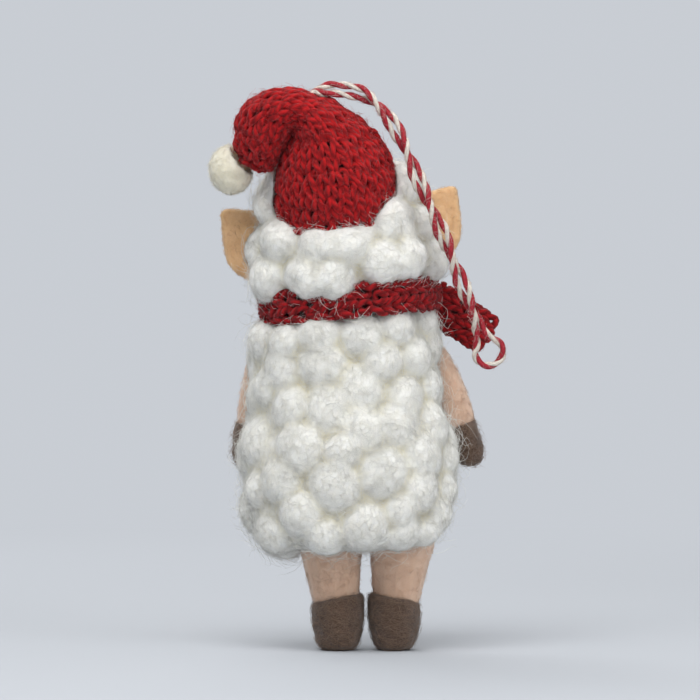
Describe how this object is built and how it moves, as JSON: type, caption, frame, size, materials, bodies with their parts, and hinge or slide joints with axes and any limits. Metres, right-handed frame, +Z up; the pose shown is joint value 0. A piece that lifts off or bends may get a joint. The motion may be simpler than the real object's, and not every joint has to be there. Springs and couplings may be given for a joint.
{
  "type": "felt christmas ornament",
  "caption": "Needle-felted sheep ornament with a bobbled fleece, felt ears and hooves, a knitted hat with a floppy tail and pompom, a knitted scarf and a twisted twine loop to hang it by.",
  "frame": {"origin": "on the floor under the soles, below the middle of the ornament's box without the hanging loop", "axes": "+Z up, the sheep faces -Y, +X is the sheep's own left"},
  "size_m": [0.0591, 0.0414, 0.1144],
  "materials": {
    "fleece_wool": "soft white needle-felted wool",
    "tan_wool": "smooth pinkish tan needle-felted wool",
    "brown_wool": "dark brown needle-felted wool",
    "ear_felt": "cut tan sheet felt",
    "red_knit": "hand-knitted red wool",
    "pompom_felt": "cream felt ball",
    "eye_bead": "glossy black bead",
    "nose_wool": "felted dusky pink wool",
    "cotton_twine": "two-ply twine, one ply red and one white"
  },
  "bodies": {
    "sheep": {"body_core": "fleece_wool", "body_fleece": "fleece_wool", "head_core": "fleece_wool", "head_fleece": "fleece_wool", "face": "tan_wool", "nose": "nose_wool", "eye_left": "eye_bead", "eye_right": "eye_bead", "ear_left": "ear_felt", "ear_right": "ear_felt", "hat_crown": "red_knit", "hat_stuffing": "fleece_wool", "scarf_wrap": "red_knit", "scarf_knot": "red_knit", "hanger_stitch": "cotton_twine"},
    "arm_left": {"arm_left": "tan_wool", "hand_hoof_left": "brown_wool"},
    "arm_right": {"arm_right": "tan_wool", "hand_hoof_right": "brown_wool"},
    "leg_left": {"leg_left": "tan_wool", "foot_hoof_left": "brown_wool"},
    "leg_right": {"leg_right": "tan_wool", "foot_hoof_right": "brown_wool"},
    "hat_tail": {"hat_tail": "red_knit", "pompom": "pompom_felt"},
    "scarf_side_end": {"scarf_side_end": "red_knit"},
    "scarf_front_end": {"scarf_front_end": "red_knit"},
    "hanging_loop": {"hanging_cord": "cotton_twine"}
  },
  "joints": [
    {"name": "arm_left_swing", "type": "hinge", "parent": "sheep", "child": "arm_left", "pos_m": [0.01676, -0.00441, 0.0585], "axis": [-1, 0, 0], "range_deg": [0, 25]},
    {"name": "arm_right_swing", "type": "hinge", "parent": "sheep", "child": "arm_right", "pos_m": [-0.01444, -0.00441, 0.0585], "axis": [-1, 0, 0], "range_deg": [0, 25]},
    {"name": "leg_left_swing", "type": "hinge", "parent": "sheep", "child": "leg_left", "pos_m": [0.00496, 0.00059, 0.024], "axis": [-1, 0, 0], "range_deg": [-20, 20], "stiffness_Nm_per_rad": 0.03},
    {"name": "leg_right_swing", "type": "hinge", "parent": "sheep", "child": "leg_right", "pos_m": [-0.00984, 0.00059, 0.024], "axis": [-1, 0, 0], "range_deg": [-20, 20], "stiffness_Nm_per_rad": 0.03},
    {"name": "hat_tail_lift", "type": "hinge", "parent": "sheep", "child": "hat_tail", "pos_m": [0.01129, 0.01233, 0.10617], "axis": [0, -1, 0], "range_deg": [0, 40]},
    {"name": "scarf_side_lift", "type": "hinge", "parent": "sheep", "child": "scarf_side_end", "pos_m": [-0.01662, -0.01217, 0.06986], "axis": [-0.5446, 0, 0.8387], "range_deg": [0, 45]},
    {"name": "scarf_front_lift", "type": "hinge", "parent": "sheep", "child": "scarf_front_end", "pos_m": [-0.00912, -0.01467, 0.06586], "axis": [-1, 0, 0], "range_deg": [0, 45]},
    {"name": "loop_swing", "type": "hinge", "parent": "sheep", "child": "hanging_loop", "pos_m": [0.00327, 0.0138, 0.1126], "axis": [0, 1, 0], "range_deg": [0, 140]}
  ]
}
